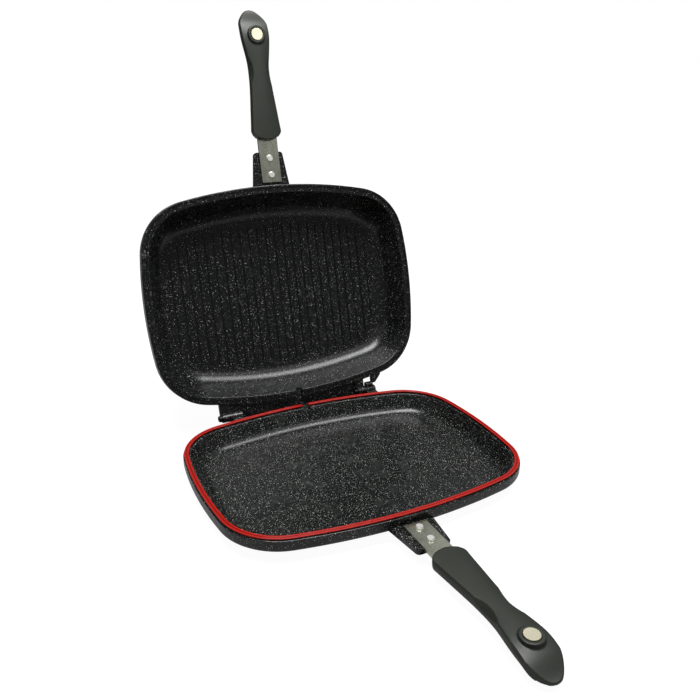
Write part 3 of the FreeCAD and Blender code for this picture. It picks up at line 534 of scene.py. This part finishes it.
class FLIPPAN_OT_coat_pans(bpy.types.Operator):
    """Coats both cast pans with the flecked non-stick finish"""
    bl_idname = "flip_pan.coat_pans"
    bl_label = "Coat the pans"

    def execute(self, context):
        coat = settings("coat")
        grooves = (GRILL_NORMAL, GRILL_LEVEL)
        frying = coat_material("granite_nonstick_frying", coat, coat.bare_frying)
        grill = coat_material("granite_nonstick_grill", coat, coat.bare_grill, grooves)
        finish_node("lower_pan", frying)
        finish_node("upper_pan", grill)
        return {"FINISHED"}


class FLIPPAN_OT_lay_seal(bpy.types.Operator):
    """Lays the silicone seal in the lower rim"""
    bl_idname = "flip_pan.lay_seal"
    bl_label = "Lay the seal"

    def execute(self, context):
        seal = settings("seal")
        ring = own_copy("seal", "seal_ring")
        add_modifier(ring, "BEVEL", width=seal.edge, segments=2, limit_method="ANGLE",
                     angle_limit=SEAL_EDGE_ANGLE)
        _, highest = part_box("seal")
        silicone = silicone_material("moulded_red_silicone", seal, top=highest[2])
        ring.data.materials.append(silicone)
        select_only(ring)
        bpy.ops.object.shade_smooth_by_angle(angle=SEAL_SHADE_ANGLE)
        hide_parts("seal")
        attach(ring, BODY["lower"])
        return {"FINISHED"}


class FLIPPAN_OT_mould_grips(bpy.types.Operator):
    """Moulds the two phenolic grips"""
    bl_idname = "flip_pan.mould_grips"
    bl_label = "Mould the grips"

    def execute(self, context):
        grip = settings("grip")
        phenolic = phenolic_material("moulded_phenolic", grip)
        for half in HALVES:
            moulding = own_copy(f"{half}_grip", f"{half}_grip_moulding")
            add_modifier(moulding, "REMESH", mode="SHARP", octree_depth=GRIP_GRID,
                         scale=GRIP_GRID_SHARE, use_remove_disconnected=False)
            round_front(moulding, GRIP_SIDES[half], grip)
            add_modifier(moulding, "SMOOTH", factor=SMOOTHING, iterations=grip.softness)
            moulding.data.materials.append(phenolic)
            select_only(moulding)
            bpy.ops.object.shade_smooth()
            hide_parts(f"{half}_grip")
            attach(moulding, BODY[half])
        return {"FINISHED"}


class FLIPPAN_OT_fit_metal(bpy.types.Operator):
    """Fits the tangs, rivets, screws, catch discs and hinge pins"""
    bl_idname = "flip_pan.fit_metal"
    bl_label = "Fit the metal parts"

    def execute(self, context):
        colours = settings("metal")
        metals = {metal: metal_material(getattr(colours, metal), **finish)
                  for metal, finish in METALS.items()}
        for half in HALVES:
            finish_node(f"{half}_tang", metals["steel"])
            for piece in ("inner_rivet", "outer_rivet", "grip_screw"):
                finish_node(f"{half}_{piece}", metals["rivet"])
            for piece in ("magnet_cover", "magnet"):
                finish_node(f"{half}_{piece}", metals["nickel"])
        for side in ("left", "right"):
            finish_node(f"{side}_hinge_pin", metals["pin"])
        return {"FINISHED"}


# Stage

WHITE = "#ffffff"

# The floor's paint as it throws light on the pan, and the darker one that the camera sees
# under the floor's glow, so that a shadow shows in it
FLOOR_PAINT = "#a0a0a0"
FLOOR_SHOWN = "#5a5a5a"

# How far from its middle the floor's glow begins to grow, and where it is full
GLOW_NEAR = 0.35
GLOW_FAR = 1.3

# The strength at which the white surroundings light the pan
AIR_STRENGTH = 0.16

# A large soft box overhead and two small ones that the catch discs mirror: the place of
# each, what it is aimed at, its width and height, and its power in watts
SOFT_BOXES = {
    "overhead_softbox": ((0.0, -0.26, 1.9), (0.0, 0.08, 0.0), (1.5, 0.82), 60.0),
    "front_fill": ((0.75, -1.3, 1.55), (0.0, 0.25, 0.45), (0.45, 0.45), 1.7),
    "back_kicker": ((1.05, 0.85, 1.35), (0.0, -0.3, 0.0), (0.5, 0.5), 0.85),
}

# The camera's sensor in millimetres, and how far it sees in metres
SENSOR_WIDTH = 36.0
SIGHT = 50.0


def lay_floor(stage):
    """Lays a white floor that keeps the pan's shadow and fades to plain white far out."""
    deselect_all()
    bpy.ops.mesh.primitive_plane_add(size=stage.floor_size, location=(0.0, 0.0, 0.0))
    floor = bpy.context.object
    floor.name = "studio_floor"
    material, tree, coordinates = new_material("white_studio_floor")
    far = add_node(tree, "ShaderNodeVectorMath", {"operation": "LENGTH"},
                   n0=coordinates["Object"])
    glow = add_node(tree, "ShaderNodeMapRange", {"interpolation_type": "SMOOTHSTEP"},
                    Value=far.outputs["Value"], From_Min=GLOW_NEAR, From_Max=GLOW_FAR,
                    To_Min=stage.floor_glow)
    paint = add_node(tree, "ShaderNodeBsdfDiffuse", Color=linear(FLOOR_PAINT))
    faint = add_node(tree, "ShaderNodeBsdfDiffuse", Color=linear(FLOOR_SHOWN))
    light = add_node(tree, "ShaderNodeEmission", Color=linear(WHITE),
                     Strength=glow.outputs["Result"])
    shown = add_node(tree, "ShaderNodeAddShader", n0=faint.outputs["BSDF"],
                     n1=light.outputs["Emission"])
    seen = add_node(tree, "ShaderNodeLightPath").outputs["Is Camera Ray"]
    both = add_node(tree, "ShaderNodeMixShader", n0=seen,
                    n1=paint.outputs["BSDF"], n2=shown.outputs["Shader"])
    add_node(tree, "ShaderNodeOutputMaterial", Surface=both.outputs["Shader"])
    floor.data.materials.append(material)


def light_world(scene):
    """Surrounds the pan with a faint even light, which the camera sees as plain white."""
    world = scene.world or bpy.data.worlds.new("studio_air")
    scene.world = world
    world.use_nodes = True
    tree = world.node_tree
    tree.nodes.clear()
    seen = add_node(tree, "ShaderNodeLightPath").outputs["Is Camera Ray"]
    strength = add_node(tree, "ShaderNodeMapRange", Value=seen,
                        To_Min=AIR_STRENGTH).outputs["Result"]
    sky = add_node(tree, "ShaderNodeBackground", Color=linear(WHITE), Strength=strength)
    add_node(tree, "ShaderNodeOutputWorld", Surface=sky.outputs["Background"])


def hang_lights():
    """Hangs the soft boxes, each turned to face its aim."""
    for name, (place, aim, size, power) in SOFT_BOXES.items():
        lamp = bpy.data.lights.new(name, "AREA")
        lamp.shape = "RECTANGLE"
        lamp.size, lamp.size_y = size
        lamp.energy = power
        holder = bpy.data.objects.new(name, lamp)
        bpy.context.collection.objects.link(holder)
        holder.location = place
        way = Vector(aim) - Vector(place)
        holder.rotation_euler = way.to_track_quat("-Z", "Y").to_euler()


def place_camera(scene, stage):
    """Stands the camera at its eye, aimed at its target and leant by its roll."""
    back = (Vector(stage.eye) - Vector(stage.target)).normalized()
    right = Vector((0.0, 0.0, 1.0)).cross(back).normalized()
    up = back.cross(right)
    lean = stage.roll
    across = right * math.cos(lean) + up * math.sin(lean)
    upright = up * math.cos(lean) - right * math.sin(lean)
    turn = Matrix((across, upright, back)).transposed()
    camera = bpy.data.objects.new("camera", bpy.data.cameras.new("camera"))
    bpy.context.collection.objects.link(camera)
    camera.data.sensor_width = SENSOR_WIDTH
    camera.data.lens = stage.lens
    camera.data.shift_x, camera.data.shift_y = stage.shift
    camera.data.clip_end = SIGHT
    camera.matrix_world = Matrix.Translation(stage.eye) @ turn.to_4x4()
    scene.camera = camera


class FLIPPAN_OT_set_stage(bpy.types.Operator):
    """Sets the studio: pale floor, soft lights and the camera"""
    bl_idname = "flip_pan.set_stage"
    bl_label = "Set the stage"

    def execute(self, context):
        stage = settings("stage")
        lay_floor(stage)
        light_world(context.scene)
        hang_lights()
        place_camera(context.scene, stage)
        context.scene.view_settings.view_transform = "Standard"
        return {"FINISHED"}


# Panel and registration

SETTINGS = {
    "coat": CoatSettings,
    "seal": SealSettings,
    "grip": GripSettings,
    "metal": MetalSettings,
    "stage": StageSettings,
}
PIECES = (
    FLIPPAN_OT_coat_pans,
    FLIPPAN_OT_lay_seal,
    FLIPPAN_OT_mould_grips,
    FLIPPAN_OT_fit_metal,
    FLIPPAN_OT_set_stage,
)


class FLIPPAN_PT_panel(bpy.types.Panel):
    """Lists the settings and the pieces of the flip pan"""
    bl_idname = "FLIPPAN_PT_panel"
    bl_label = "Flip pan"
    bl_space_type = "VIEW_3D"
    bl_region_type = "UI"
    bl_category = "Flip pan"

    def draw(self, context):
        for name in SETTINGS:
            box = self.layout.box()
            box.label(text=name.capitalize())
            group = settings(name)
            for prop in group.bl_rna.properties:
                if prop.identifier not in ("rna_type", "name"):
                    box.prop(group, prop.identifier)
        for operator in PIECES:
            self.layout.operator(operator.bl_idname)


def register():
    for name, group in SETTINGS.items():
        bpy.utils.register_class(group)
        setattr(bpy.types.Scene, f"flip_pan_{name}", PointerProperty(type=group))
    for operator in PIECES:
        bpy.utils.register_class(operator)
    bpy.utils.register_class(FLIPPAN_PT_panel)


def unregister():
    bpy.utils.unregister_class(FLIPPAN_PT_panel)
    for operator in reversed(PIECES):
        bpy.utils.unregister_class(operator)
    for name, group in reversed(SETTINGS.items()):
        delattr(bpy.types.Scene, f"flip_pan_{name}")
        bpy.utils.unregister_class(group)


def main():
    register()
    bpy.ops.flip_pan.coat_pans()
    bpy.ops.flip_pan.lay_seal()
    bpy.ops.flip_pan.mould_grips()
    bpy.ops.flip_pan.fit_metal()
    bpy.ops.flip_pan.set_stage()


if __name__ == "__main__":
    main()
